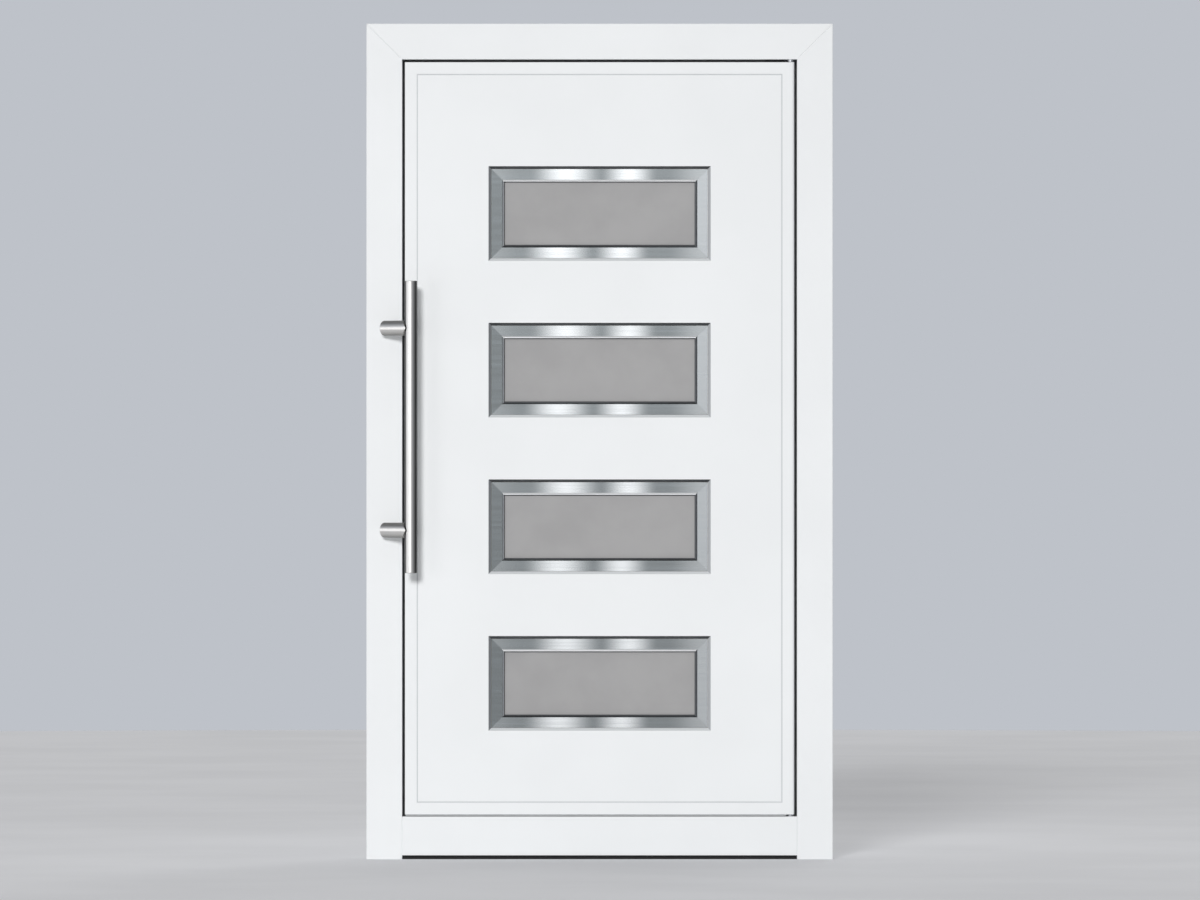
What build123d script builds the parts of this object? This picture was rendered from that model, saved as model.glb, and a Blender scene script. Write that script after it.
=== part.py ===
from build123d import *
from math import atan2, cos, degrees, radians, sin
import os

os.makedirs("parts", exist_ok=True)

# A front door set in millimetres, +Z up, +X to the right seen from outdoors, +Y indoors.
# The origin is under the middle of the door, on the flat underside of the base strip.

# Outer frame
overall_width = 1200
overall_height = 2150
frame_depth = 92
frame_face = 92
frame_wall = 3
frame_web = 2
frame_edge = 1
front_chamber = 27
break_chamber = 28
lip_reach = 22
lip_gap = 6

# Bottom of the frame
base_gap = 10
base_setback = 12
plinth_height = 100
plinth_edge = 0.8
threshold_rise = 22
threshold_slope = 8

# Leaf
leaf_gap = 7
leaf_bottom_gap = 5
leaf_thickness = 68
outer_skin = 9
inner_skin = 3
leaf_edge_radius = 1.2
hinge_edge_radius = 6
stile_face = 64
stile_wall = 4
stile_web = 3
groove_inset = 32
groove_width = 3
groove_depth = 1.5

# Windows in the leaf, counted from the top
window_count = 4
window_pitch = 403
window_middle = 1057
glass_sight_width = 489
glass_sight_height = 161
seal_width = 2.2
seal_height = 4
bead_width = 4.8
bead_bevel = 3.3
bead_height = 4
flange_width = 27
recess_bevel = 7
recess_depth = 6.5
flange_clearance = 0.5
glass_edge_cover = 11.5
pane_thickness = 6
glass_thickness = 44
glass_clearance = 2
spacer_inset = 3
spacer_width = 12
inner_seal_height = 2
inner_flange_thickness = 3

# Weather seal on the frame's stop
seal_bulb_width = 4
seal_bulb_edge = 0.5
seal_running_gap = 1.2
seal_bulb_radius = 1.6
seal_base_thickness = 1.5
seal_base_edge = 0.5

# Pivots at the hinge edge
pivot_inset = 10
pin_radius = 5
pin_running_gap = 0.05
pin_grip = 9
collar_radius = 8
collar_clearance = 0.3
plate_length = 68
plate_back = 46
plate_thickness = 10
plate_side_skin = 2
plate_front_skin = 2.5

# Pull handle outdoors
grip_radius = 16
grip_length = 750
grip_bottom = 737
grip_edge_inset = 17
grip_standoff = 82
grip_end_edge = 1.5
support_low_rise = 110
support_spacing = 519
arm_radius = 19.5
arm_reach = 82
arm_angle = 41
arm_reveal = 3.6
arm_end_edge = 1.2
spigot_radius = 8
post_radius = 10
rosette_radius = 14
rosette_height = 4

# Lock in the leaf's edge
lock_backset = 40
lever_height = 1050
cylinder_drop = 92
faceplate_width = 20
faceplate_length = 240
faceplate_thickness = 2.5
faceplate_middle_drop = 46
lock_case_thickness = 16
lock_case_length = 176
lock_case_depth = 44
latch_size = (3, 12, 26)
dead_bolt_size = (3, 12, 40)
dead_bolt_drop = 64
bolt_clearance = 0.5
bolt_withdrawn = 0.5
strike_margin = 2
strike_thickness = 2
strike_pocket_margin = 3

# Lever set indoors
lever_plate_width = 34
lever_plate_length = 240
lever_plate_thickness = 8
lever_plate_edge = 2
lever_radius = 9.5
lever_standoff = 46
lever_length = 130
lever_bend = 20
lever_end_edge = 2
spindle_side = 8
spindle_clearance = 2
cylinder_radius = 8.5
cylinder_tab_width = 10
cylinder_tab_drop = 20
cylinder_clearance = 0.4
cylinder_stand = 3

# Fixing holes through the side members into the wall
anchor_radius = 5.5
anchor_depth = 16
anchor_count = 4
anchor_end_margin = 250

# Places worked out from the sizes above
front = -frame_depth / 2
back = frame_depth / 2
rebate_x = overall_width / 2 - frame_face
rebate_top = overall_height - frame_face
plinth_top = base_gap + plinth_height
leaf_x = rebate_x - leaf_gap
leaf_top = rebate_top - leaf_gap
leaf_bottom = plinth_top + leaf_bottom_gap
leaf_width = 2 * leaf_x
leaf_height = leaf_top - leaf_bottom
leaf_middle = (leaf_top + leaf_bottom) / 2
leaf_back = front + leaf_thickness
core_front = front + outer_skin
core_back = leaf_back - inner_skin
lip_front = leaf_back + lip_gap
lip_x = rebate_x - lip_reach
lip_top = rebate_top - lip_reach
threshold_top = leaf_bottom + threshold_rise

bead_outer_width = glass_sight_width + 2 * (seal_width + bead_width)
bead_outer_height = glass_sight_height + 2 * (seal_width + bead_width)
sight_width = glass_sight_width + 2 * seal_width
sight_height = glass_sight_height + 2 * seal_width
flange_outer_width = bead_outer_width + 2 * flange_width
flange_outer_height = bead_outer_height + 2 * flange_width
flange_opening_width = flange_outer_width + 2 * flange_clearance
flange_opening_height = flange_outer_height + 2 * flange_clearance
flange_front = front + recess_depth
glass_width = bead_outer_width + 2 * glass_edge_cover
glass_height = bead_outer_height + 2 * glass_edge_cover
glass_opening_width = glass_width + 2 * glass_clearance
glass_opening_height = glass_height + 2 * glass_clearance
glass_back = core_front + glass_thickness
window_top_first = window_middle + window_pitch * (window_count - 1) / 2
window_heights = [window_top_first - window_pitch * place for place in range(window_count)]

pivot_x = leaf_x - pivot_inset
pivot_y = front + pivot_inset
plate_right = leaf_x - plate_side_skin
plate_front = front + plate_front_skin
grip_x = -leaf_x + grip_edge_inset
grip_y = front - grip_standoff
lock_y = (core_front + core_back) / 2
lever_x = -leaf_x + lock_backset
faceplate_middle = lever_height - faceplate_middle_drop
cylinder_height = lever_height - cylinder_drop
dead_bolt_height = lever_height - dead_bolt_drop
lever_plate_front = leaf_back + lever_plate_thickness
faceplate_back_x = -leaf_x + faceplate_thickness
lock_case_back = lock_y + lock_case_thickness / 2
anchor_step = (overall_height - 2 * anchor_end_margin) / (anchor_count - 1)
anchor_heights = [anchor_end_margin + anchor_step * place for place in range(anchor_count)]


def upright(depth, height=0):
    """A drawing plane that faces outdoors, at a depth and with its origin at a height."""
    return Plane(origin=(0, depth, height), x_dir=(1, 0, 0), z_dir=(0, -1, 0))


def write(builder, name):
    """Name a finished piece and write its file."""
    builder.part.label = name
    export_step(builder.part, f"parts/{name}.step")


def mitre(corner_x, corner_z, side_x, side_z):
    """The plane of a mitre through a corner, facing away from the upright member."""
    return Plane(origin=(corner_x, 0, corner_z), z_dir=(side_x, 0, side_z))


def chamber(across_from, across_to, depth_from, depth_to):
    """Cut one hollow of a profile out of the current sketch."""
    width = across_to - across_from
    depth = depth_to - depth_from
    with Locations((across_from + width / 2, depth_from + depth / 2)):
        Rectangle(width, depth, mode=Mode.SUBTRACT)


def frame_section():
    """The chambered frame profile: its face runs inwards along X, its depth along Y."""
    with BuildLine() as outline:
        Polyline(
            (0, front),
            (frame_face, front),
            (frame_face, lip_front),
            (frame_face + lip_reach, lip_front),
            (frame_face + lip_reach, back),
            (0, back),
            close=True,
        )
    make_face(outline.edges())
    across_to = frame_face - frame_wall
    break_front = front + frame_wall + front_chamber + frame_web
    break_back = break_front + break_chamber
    chamber(frame_wall, across_to, front + frame_wall, break_front - frame_web)
    chamber(frame_wall, across_to, break_front, break_back)
    chamber(frame_wall, across_to, break_back + frame_web, back - frame_wall)
    lip_wall_x = frame_face + lip_reach - frame_wall
    chamber(frame_face, lip_wall_x, lip_front + frame_wall, back - frame_wall)


def leaf_section():
    """The hollow leaf profile: its face runs inwards along X, its depth along Y."""
    depth = core_back - core_front
    with Locations((stile_face / 2, lock_y)):
        Rectangle(stile_face, depth)
    web_x = stile_face - 3 * stile_wall
    chamber(stile_wall, web_x - stile_web, core_front + stile_wall, core_back - stile_wall)
    chamber(web_x, stile_face - stile_wall, core_front + stile_wall, core_back - stile_wall)


def pivot_pocket(bottom):
    """Sink the seat of a pivot plate into the current leaf piece."""
    with BuildSketch(Plane.XY.offset(bottom)) as seat:
        with Locations((plate_right - plate_length / 2, plate_front + plate_back / 2)):
            Rectangle(plate_length, plate_back)
    extrude(seat.sketch, amount=plate_thickness, mode=Mode.SUBTRACT)


def front_outline(builder):
    """The edges round the front face of a piece."""
    return builder.faces().sort_by(Axis.Y)[0].outer_wire().edges()


# Side members of the frame, hollow profiles that run down to the floor
top_left_mitre = mitre(-overall_width / 2, overall_height, 1, 1)
top_right_mitre = mitre(overall_width / 2, overall_height, -1, 1)

with BuildPart() as jamb_left:
    with BuildSketch(Plane(origin=(-overall_width / 2, 0, 0), x_dir=(1, 0, 0), z_dir=(0, 0, 1))):
        frame_section()
    extrude(amount=overall_height)
    split(bisect_by=top_left_mitre, keep=Keep.BOTTOM)
    chamfer(front_outline(jamb_left).sort_by(Axis.Z)[1:], frame_edge)
    for anchor_z in anchor_heights:
        with Locations(Location((-overall_width / 2, anchor_depth, anchor_z), (0, 90, 0))):
            Cylinder(
                anchor_radius,
                frame_face,
                align=(Align.CENTER, Align.CENTER, Align.MIN),
                mode=Mode.SUBTRACT,
            )

with BuildPart() as jamb_right:
    add(jamb_left.part.mirror(Plane.YZ))
write(jamb_right, "jamb_right")

# The strike plate's pocket is only in the lock side's rebate
strike_width = faceplate_width + 2 * strike_margin
strike_length = faceplate_length + 2 * strike_margin
with BuildPart() as jamb_lock_side:
    add(jamb_left.part)
    with Locations((-rebate_x - strike_thickness / 2, lock_y, faceplate_middle)):
        Box(strike_thickness, strike_width, strike_length, mode=Mode.SUBTRACT)
write(jamb_lock_side, "jamb_left")

with BuildPart() as head:
    with BuildSketch(Plane(origin=(-overall_width / 2, 0, overall_height), x_dir=(0, 0, -1), z_dir=(1, 0, 0))):
        frame_section()
    extrude(amount=overall_width)
    split(bisect_by=top_left_mitre, keep=Keep.TOP)
    split(bisect_by=top_right_mitre, keep=Keep.TOP)
    chamfer(front_outline(head), frame_edge)
write(head, "head")

# Plinth panel across the bottom, a hollow box between the side members
with BuildPart() as plinth:
    with BuildSketch(Plane(origin=(-rebate_x, 0, base_gap), x_dir=(0, 1, 0), z_dir=(1, 0, 0))):
        with Locations((front, 0)):
            Rectangle(lip_front - front, plinth_height, align=(Align.MIN, Align.MIN))
        fillet(vertices().group_by(Axis.X)[0], plinth_edge)
        hollow_depth = (lip_front - front - 2 * frame_wall - frame_web) / 2
        for hollow_front in (front + frame_wall, lip_front - frame_wall - hollow_depth):
            chamber(hollow_front, hollow_front + hollow_depth, frame_wall, plinth_height - frame_wall)
    extrude(amount=2 * rebate_x)
    end_edges = plinth.edges().filter_by(Axis.Z).group_by(Axis.Y)[0]
    chamfer(end_edges, plinth_edge)
write(plinth, "plinth")

# Threshold behind the plinth, with the stop that the leaf closes against
with BuildPart() as threshold:
    with BuildSketch(Plane(origin=(-lip_x, 0, base_gap), x_dir=(0, 1, 0), z_dir=(1, 0, 0))):
        threshold_height = threshold_top - base_gap
        with BuildLine():
            Polyline(
                (lip_front, 0),
                (back, 0),
                (back, threshold_height - threshold_slope),
                (lip_front + threshold_slope, threshold_height),
                (lip_front, threshold_height),
                close=True,
            )
        make_face()
        chamber(
            lip_front + frame_wall,
            back - frame_wall,
            frame_wall,
            threshold_height - threshold_slope - frame_wall,
        )
    extrude(amount=2 * lip_x)
write(threshold, "threshold")

# Base strip in the shadow gap under the plinth and threshold
with BuildPart() as base_strip:
    strip_front = front + base_setback
    with BuildSketch(Plane.XY):
        with Locations((0, strip_front)):
            Rectangle(2 * rebate_x, lip_front - strip_front, align=(Align.CENTER, Align.MIN))
        with Locations((0, lip_front)):
            Rectangle(2 * lip_x, back - lip_front, align=(Align.CENTER, Align.MIN))
    extrude(amount=base_gap)
write(base_strip, "base_strip")

# Weather seal all round the stop: a bulb just clear of the closed leaf, on a flat base beside and over the leaf
with BuildPart() as frame_gasket:
    seal_inner_x = lip_x + seal_bulb_edge
    seal_outer_x = seal_inner_x + seal_bulb_width
    seal_inner_top = lip_top + seal_bulb_edge
    seal_inner_bottom = threshold_top - seal_bulb_edge
    seal_height_inner = seal_inner_top - seal_inner_bottom
    seal_middle = (seal_inner_top + seal_inner_bottom) / 2
    with BuildSketch(upright(lip_front, seal_middle)):
        Rectangle(2 * seal_outer_x, seal_height_inner + 2 * seal_bulb_width)
        Rectangle(2 * seal_inner_x, seal_height_inner, mode=Mode.SUBTRACT)
    extrude(amount=lip_gap - seal_running_gap)
    fillet(frame_gasket.edges().group_by(Axis.Y)[0], seal_bulb_radius)
    # The base covers the stop down to the threshold, and leaves out the threshold itself
    base_outer_x = rebate_x - seal_base_edge
    base_top = rebate_top - seal_base_edge
    with BuildSketch(upright(lip_front, plinth_top)):
        Rectangle(2 * base_outer_x, base_top - plinth_top, align=(Align.CENTER, Align.MIN))
        Rectangle(
            2 * seal_inner_x,
            seal_inner_top - plinth_top,
            align=(Align.CENTER, Align.MIN),
            mode=Mode.SUBTRACT,
        )
    extrude(amount=seal_base_thickness)
write(frame_gasket, "frame_gasket")

# Strike plate let into the left rebate
with BuildPart() as strike_plate:
    with Locations((-rebate_x - strike_thickness / 2, lock_y, faceplate_middle)):
        Box(strike_thickness, strike_width, strike_length)
    for bolt_size, bolt_z in ((latch_size, lever_height), (dead_bolt_size, dead_bolt_height)):
        hole_width = bolt_size[1] + 2 * strike_pocket_margin
        hole_height = bolt_size[2] + 2 * strike_pocket_margin
        with Locations((-rebate_x - strike_thickness / 2, lock_y, bolt_z)):
            Box(strike_thickness, hole_width, hole_height, mode=Mode.SUBTRACT)
write(strike_plate, "strike_plate")

# Pivot pins: one stands on the plinth, one hangs under the head
with BuildPart() as pivot_pin_bottom:
    with BuildSketch(Plane.XY.offset(plinth_top)):
        with Locations((pivot_x, pivot_y)):
            Circle(collar_radius)
    extrude(amount=leaf_bottom_gap - collar_clearance)
    with BuildSketch(Plane.XY.offset(plinth_top)):
        with Locations((pivot_x, pivot_y)):
            Circle(pin_radius)
    extrude(amount=leaf_bottom_gap + pin_grip)
write(pivot_pin_bottom, "pivot_pin_bottom")

with BuildPart() as pivot_pin_top:
    with BuildSketch(Plane.XY.offset(rebate_top)):
        with Locations((pivot_x, pivot_y)):
            Circle(collar_radius)
    extrude(amount=-(leaf_gap - collar_clearance))
    with BuildSketch(Plane.XY.offset(rebate_top)):
        with Locations((pivot_x, pivot_y)):
            Circle(pin_radius)
    extrude(amount=-(leaf_gap + pin_grip))
write(pivot_pin_top, "pivot_pin_top")

# Pivot plates let into the leaf's lower and upper edges
for plate_name, plate_bottom in (
    ("pivot_plate_bottom", leaf_bottom),
    ("pivot_plate_top", leaf_top - plate_thickness),
):
    with BuildPart() as pivot_plate:
        with BuildSketch(Plane.XY.offset(plate_bottom)):
            with Locations((plate_right - plate_length / 2, plate_front + plate_back / 2)):
                Rectangle(plate_length, plate_back)
            with Locations((pivot_x, pivot_y)):
                Circle(pin_radius + pin_running_gap, mode=Mode.SUBTRACT)
        extrude(amount=plate_thickness)
    write(pivot_plate, plate_name)

# Leaf frame: two stiles and two rails of hollow profile, mitred at the corners
bottom_left_mitre = mitre(-leaf_x, leaf_bottom, 1, -1)
bottom_right_mitre = mitre(leaf_x, leaf_bottom, -1, -1)
leaf_top_left_mitre = mitre(-leaf_x, leaf_top, 1, 1)
leaf_top_right_mitre = mitre(leaf_x, leaf_top, -1, 1)

with BuildPart() as stile_plain:
    with BuildSketch(Plane(origin=(-leaf_x, 0, leaf_bottom), x_dir=(1, 0, 0), z_dir=(0, 0, 1))):
        leaf_section()
    extrude(amount=leaf_height)
    split(bisect_by=leaf_top_left_mitre, keep=Keep.BOTTOM)
    split(bisect_by=bottom_left_mitre, keep=Keep.BOTTOM)

with BuildPart() as stile_hinge:
    add(stile_plain.part.mirror(Plane.YZ))
    pivot_pocket(leaf_bottom)
    pivot_pocket(leaf_top - plate_thickness)
write(stile_hinge, "stile_hinge")

with BuildPart() as stile_lock:
    add(stile_plain.part)
    with Locations((-leaf_x + faceplate_thickness / 2, lock_y, faceplate_middle)):
        Box(faceplate_thickness, faceplate_width, faceplate_length, mode=Mode.SUBTRACT)
    with Locations((-leaf_x + stile_wall / 2, lock_y, faceplate_middle)):
        Box(stile_wall, lock_case_thickness, lock_case_length, mode=Mode.SUBTRACT)
    with BuildSketch(upright(core_back)):
        with Locations((lever_x, lever_height)):
            Circle(spindle_side / 2 + spindle_clearance)
        with Locations((lever_x, cylinder_height)):
            Circle(cylinder_radius + cylinder_clearance)
        with Locations((lever_x, cylinder_height - cylinder_tab_drop / 2)):
            Rectangle(cylinder_tab_width + 2 * cylinder_clearance, cylinder_tab_drop + cylinder_clearance)
    extrude(amount=stile_wall, mode=Mode.SUBTRACT)
write(stile_lock, "stile_lock")

with BuildPart() as rail_top:
    with BuildSketch(Plane(origin=(-leaf_x, 0, leaf_top), x_dir=(0, 0, -1), z_dir=(1, 0, 0))):
        leaf_section()
    extrude(amount=leaf_width)
    split(bisect_by=leaf_top_left_mitre, keep=Keep.TOP)
    split(bisect_by=leaf_top_right_mitre, keep=Keep.TOP)
    pivot_pocket(leaf_top - plate_thickness)
write(rail_top, "rail_top")

with BuildPart() as rail_bottom:
    with BuildSketch(Plane(origin=(leaf_x, 0, leaf_bottom), x_dir=(0, 0, 1), z_dir=(-1, 0, 0))):
        leaf_section()
    extrude(amount=leaf_width)
    split(bisect_by=bottom_left_mitre, keep=Keep.TOP)
    split(bisect_by=bottom_right_mitre, keep=Keep.TOP)
    pivot_pocket(leaf_bottom)
write(rail_bottom, "rail_bottom")

# Outer panel over the whole leaf, with its border groove and bevelled window openings
window_grid = GridLocations(window_pitch, window_pitch, 1, window_count)
recess_taper = degrees(atan2(recess_bevel, recess_depth))

with BuildPart() as outer_panel:
    with BuildSketch(upright(core_front, leaf_middle)):
        Rectangle(leaf_width, leaf_height)
    extrude(amount=outer_skin)
    hinge_edge = outer_panel.edges().filter_by(Axis.Z).group_by(Axis.Y)[0].sort_by(Axis.X)[-1]
    fillet(hinge_edge, hinge_edge_radius)
    front_face = outer_panel.faces().sort_by(Axis.Y)[0]
    other_edges = front_face.edges().sort_by(Axis.X)[:-1]
    chamfer(other_edges, leaf_edge_radius)
    groove_outer = groove_inset - groove_width / 2
    groove_inner = groove_inset + groove_width / 2
    with BuildSketch(upright(front, leaf_middle)):
        Rectangle(leaf_width - 2 * groove_outer, leaf_height - 2 * groove_outer)
        Rectangle(leaf_width - 2 * groove_inner, leaf_height - 2 * groove_inner, mode=Mode.SUBTRACT)
    extrude(amount=-groove_depth, mode=Mode.SUBTRACT)
    with BuildSketch(upright(front, window_middle)):
        with window_grid:
            Rectangle(flange_opening_width + 2 * recess_bevel, flange_opening_height + 2 * recess_bevel)
    extrude(amount=-recess_depth, taper=recess_taper, mode=Mode.SUBTRACT)
    with BuildSketch(upright(front, window_middle)):
        with window_grid:
            Rectangle(flange_opening_width, flange_opening_height)
    extrude(amount=-outer_skin, mode=Mode.SUBTRACT)
    pivot_pocket(leaf_bottom)
    pivot_pocket(leaf_top - plate_thickness)
write(outer_panel, "outer_panel")

# Inner panel over the whole leaf, with holes for the lever and the lock cylinder
with BuildPart() as inner_panel:
    with BuildSketch(upright(leaf_back, leaf_middle)):
        Rectangle(leaf_width, leaf_height)
    extrude(amount=inner_skin)
    with BuildSketch(upright(leaf_back, window_middle)):
        with window_grid:
            Rectangle(glass_opening_width, glass_opening_height)
    extrude(amount=inner_skin, mode=Mode.SUBTRACT)
    with BuildSketch(upright(leaf_back)):
        with Locations((lever_x, lever_height)):
            Circle(spindle_side / 2 + spindle_clearance)
        with Locations((lever_x, cylinder_height)):
            Circle(cylinder_radius + cylinder_clearance)
        with Locations((lever_x, cylinder_height - cylinder_tab_drop / 2)):
            Rectangle(cylinder_tab_width + 2 * cylinder_clearance, cylinder_tab_drop + cylinder_clearance)
    extrude(amount=inner_skin, mode=Mode.SUBTRACT)
write(inner_panel, "inner_panel")

# Insulating core between the panels, cut out round the glass
with BuildPart() as core:
    with BuildSketch(upright(core_back, leaf_middle)):
        Rectangle(leaf_width - 2 * stile_face, leaf_height - 2 * stile_face)
    extrude(amount=core_back - core_front)
    with BuildSketch(upright(core_back, window_middle)):
        with window_grid:
            Rectangle(glass_opening_width, glass_opening_height)
    extrude(amount=core_back - core_front, mode=Mode.SUBTRACT)
write(core, "core")

# Windows: outer trim with its raised bead, sealed glass unit and inner trim
bead_taper = degrees(atan2(bead_bevel, bead_height))

for window_number, window_height in enumerate(window_heights, start=1):
    with BuildPart() as outer_trim:
        with BuildSketch(upright(core_front, window_height)):
            Rectangle(flange_outer_width, flange_outer_height)
        extrude(amount=core_front - flange_front)
        with BuildSketch(upright(flange_front, window_height)):
            Rectangle(bead_outer_width, bead_outer_height)
        extrude(amount=bead_height, taper=bead_taper)
        with BuildSketch(upright(core_front, window_height)):
            Rectangle(sight_width, sight_height)
        extrude(amount=core_front - flange_front + bead_height, mode=Mode.SUBTRACT)
    write(outer_trim, f"outer_trim_{window_number}")

    with BuildPart() as glass_unit:
        for pane_back in (core_front + pane_thickness, glass_back):
            with BuildSketch(upright(pane_back, window_height)):
                Rectangle(glass_width, glass_height)
            extrude(amount=pane_thickness)
    write(glass_unit, f"glass_unit_{window_number}")

    with BuildPart() as inner_trim:
        with BuildSketch(upright(leaf_back + inner_flange_thickness, window_height)):
            Rectangle(flange_outer_width, flange_outer_height)
        extrude(amount=inner_flange_thickness)
        with BuildSketch(upright(leaf_back, window_height)):
            Rectangle(glass_width, glass_height)
        extrude(amount=leaf_back - glass_back - inner_seal_height)
        with BuildSketch(upright(leaf_back + inner_flange_thickness, window_height)):
            Rectangle(glass_sight_width, glass_sight_height)
        extrude(amount=inner_flange_thickness + leaf_back - glass_back, mode=Mode.SUBTRACT)
        chamfer(inner_trim.edges().group_by(Axis.Y)[-1], inner_flange_thickness / 2)
    write(inner_trim, f"inner_trim_{window_number}")

# Spacer bars between the panes, one ring in each window
spacer_outer_width = glass_width - 2 * spacer_inset
spacer_outer_height = glass_height - 2 * spacer_inset
with BuildPart() as glass_spacers:
    with BuildSketch(upright(glass_back - pane_thickness, window_middle)):
        with window_grid:
            Rectangle(spacer_outer_width, spacer_outer_height)
        with window_grid:
            Rectangle(
                spacer_outer_width - 2 * spacer_width,
                spacer_outer_height - 2 * spacer_width,
                mode=Mode.SUBTRACT,
            )
    extrude(amount=glass_thickness - 2 * pane_thickness)
write(glass_spacers, "glass_spacers")

# Glazing seals: a slim lip inside each bead, a flat strip behind each glass
with BuildPart() as window_gaskets:
    with BuildSketch(upright(core_front, window_middle)):
        with window_grid:
            Rectangle(sight_width, sight_height)
        with window_grid:
            Rectangle(glass_sight_width, glass_sight_height, mode=Mode.SUBTRACT)
    extrude(amount=seal_height)
    with BuildSketch(upright(glass_back + inner_seal_height, window_middle)):
        with window_grid:
            Rectangle(glass_width, glass_height)
        with window_grid:
            Rectangle(glass_sight_width, glass_sight_height, mode=Mode.SUBTRACT)
    extrude(amount=inner_seal_height)
write(window_gaskets, "window_gaskets")

# Pull handle: an upright bar on two supports
with BuildPart() as handle_bar:
    with BuildSketch(Plane.XY.offset(grip_bottom)):
        with Locations((grip_x, grip_y)):
            Circle(grip_radius)
    extrude(amount=grip_length)
    chamfer(handle_bar.edges().filter_by(GeomType.CIRCLE), grip_end_edge)
write(handle_bar, "handle_bar")

support_low = grip_bottom + support_low_rise
arm_direction = (-cos(radians(arm_angle)), sin(radians(arm_angle)), 0)
arm_length = (arm_reach - arm_radius * sin(radians(arm_angle))) / cos(radians(arm_angle))

for support_name, support_height in (
    ("handle_support_lower", support_low),
    ("handle_support_upper", support_low + support_spacing),
):
    bar_spot = (grip_x, grip_y, support_height)
    with BuildPart() as handle_support:
        # Thick arm, square cut at its far end and hollowed round the bar
        with BuildSketch(Plane(origin=bar_spot, x_dir=(0, 0, 1), z_dir=arm_direction)):
            Circle(arm_radius)
        extrude(amount=arm_length)
        far_rim = handle_support.edges().filter_by(GeomType.CIRCLE).sort_by(Axis.X)[0]
        chamfer(far_rim, arm_end_edge)
        with Locations(bar_spot):
            Cylinder(grip_radius + arm_reveal, 3 * arm_radius, mode=Mode.SUBTRACT)
        # Slim spigot from the bar into the arm
        with BuildSketch(Plane(origin=bar_spot, x_dir=(0, 0, 1), z_dir=arm_direction)):
            Circle(spigot_radius)
        extrude(amount=grip_radius + 2 * arm_reveal + spigot_radius)
        # Straight post behind the bar, with its rosette on the leaf
        with BuildSketch(Plane(origin=(grip_x, front, support_height), x_dir=(1, 0, 0), z_dir=(0, -1, 0))):
            Circle(post_radius)
        extrude(amount=grip_standoff)
        with BuildSketch(Plane(origin=(grip_x, front, support_height), x_dir=(1, 0, 0), z_dir=(0, -1, 0))):
            Circle(rosette_radius)
        extrude(amount=rosette_height)
        # Seat on the round bar
        with Locations(bar_spot):
            Cylinder(grip_radius, 3 * arm_radius, mode=Mode.SUBTRACT)
    write(handle_support, support_name)

# Mortice lock: case in the hollow stile, faceplate flush in the leaf's edge, withdrawn bolts
with BuildPart() as lock_case:
    with Locations((faceplate_back_x + lock_case_depth / 2, lock_y, faceplate_middle)):
        Box(lock_case_depth, lock_case_thickness, lock_case_length)
write(lock_case, "lock_case")

with BuildPart() as lock_faceplate:
    with Locations((-leaf_x + faceplate_thickness / 2, lock_y, faceplate_middle)):
        Box(faceplate_thickness, faceplate_width, faceplate_length)
    for bolt_size, bolt_z in ((latch_size, lever_height), (dead_bolt_size, dead_bolt_height)):
        with Locations((-leaf_x + faceplate_thickness / 2, lock_y, bolt_z)):
            Box(
                faceplate_thickness,
                bolt_size[1] + 2 * bolt_clearance,
                bolt_size[2] + 2 * bolt_clearance,
                mode=Mode.SUBTRACT,
            )
write(lock_faceplate, "lock_faceplate")

for bolt_name, bolt_size, bolt_z in (
    ("latch_bolt", latch_size, lever_height),
    ("dead_bolt", dead_bolt_size, dead_bolt_height),
):
    nose_x = -leaf_x + bolt_withdrawn
    with BuildPart() as bolt:
        with Locations(((nose_x + faceplate_back_x) / 2, lock_y, bolt_z)):
            Box(faceplate_back_x - nose_x, bolt_size[1], bolt_size[2])
    write(bolt, bolt_name)

# Lever set indoors: long plate, lever with its square spindle, and the lock cylinder
with BuildPart() as lever_plate:
    with BuildSketch(upright(lever_plate_front)):
        with Locations((lever_x, faceplate_middle)):
            RectangleRounded(lever_plate_width, lever_plate_length, lever_plate_width / 2 - lever_plate_edge)
        with Locations((lever_x, lever_height)):
            Circle(spindle_side / 2 + spindle_clearance, mode=Mode.SUBTRACT)
        with Locations((lever_x, cylinder_height)):
            Circle(cylinder_radius + cylinder_clearance, mode=Mode.SUBTRACT)
        with Locations((lever_x, cylinder_height - cylinder_tab_drop / 2)):
            Rectangle(
                cylinder_tab_width + 2 * cylinder_clearance,
                cylinder_tab_drop + cylinder_clearance,
                mode=Mode.SUBTRACT,
            )
    extrude(amount=lever_plate_thickness)
    rim = lever_plate.faces().sort_by(Axis.Y)[-1].outer_wire().edges()
    chamfer(rim, lever_plate_edge)
write(lever_plate, "lever_plate")

with BuildPart() as lever_handle:
    lever_axis_y = leaf_back + lever_standoff
    with BuildLine() as lever_path:
        FilletPolyline(
            (lever_x, lever_plate_front, lever_height),
            (lever_x, lever_axis_y, lever_height),
            (lever_x + lever_length, lever_axis_y, lever_height),
            radius=lever_bend,
        )
    with BuildSketch(Plane(origin=lever_path.line @ 0, z_dir=lever_path.line % 0)):
        Circle(lever_radius)
    sweep()
    chamfer(lever_handle.edges().filter_by(GeomType.CIRCLE).sort_by(Axis.X)[-1], lever_end_edge)
    spindle_length = lever_plate_front - lock_case_back
    with Locations((lever_x, lever_plate_front - spindle_length / 2, lever_height)):
        Box(spindle_side, spindle_length, spindle_side)
write(lever_handle, "lever_handle")

with BuildPart() as lock_cylinder:
    with BuildSketch(upright(lever_plate_front + cylinder_stand)):
        with Locations((lever_x, cylinder_height)):
            Circle(cylinder_radius)
        with Locations((lever_x, cylinder_height - cylinder_tab_drop / 2)):
            Rectangle(cylinder_tab_width, cylinder_tab_drop)
    extrude(amount=lever_plate_front + cylinder_stand - lock_case_back)
write(lock_cylinder, "lock_cylinder")
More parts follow.
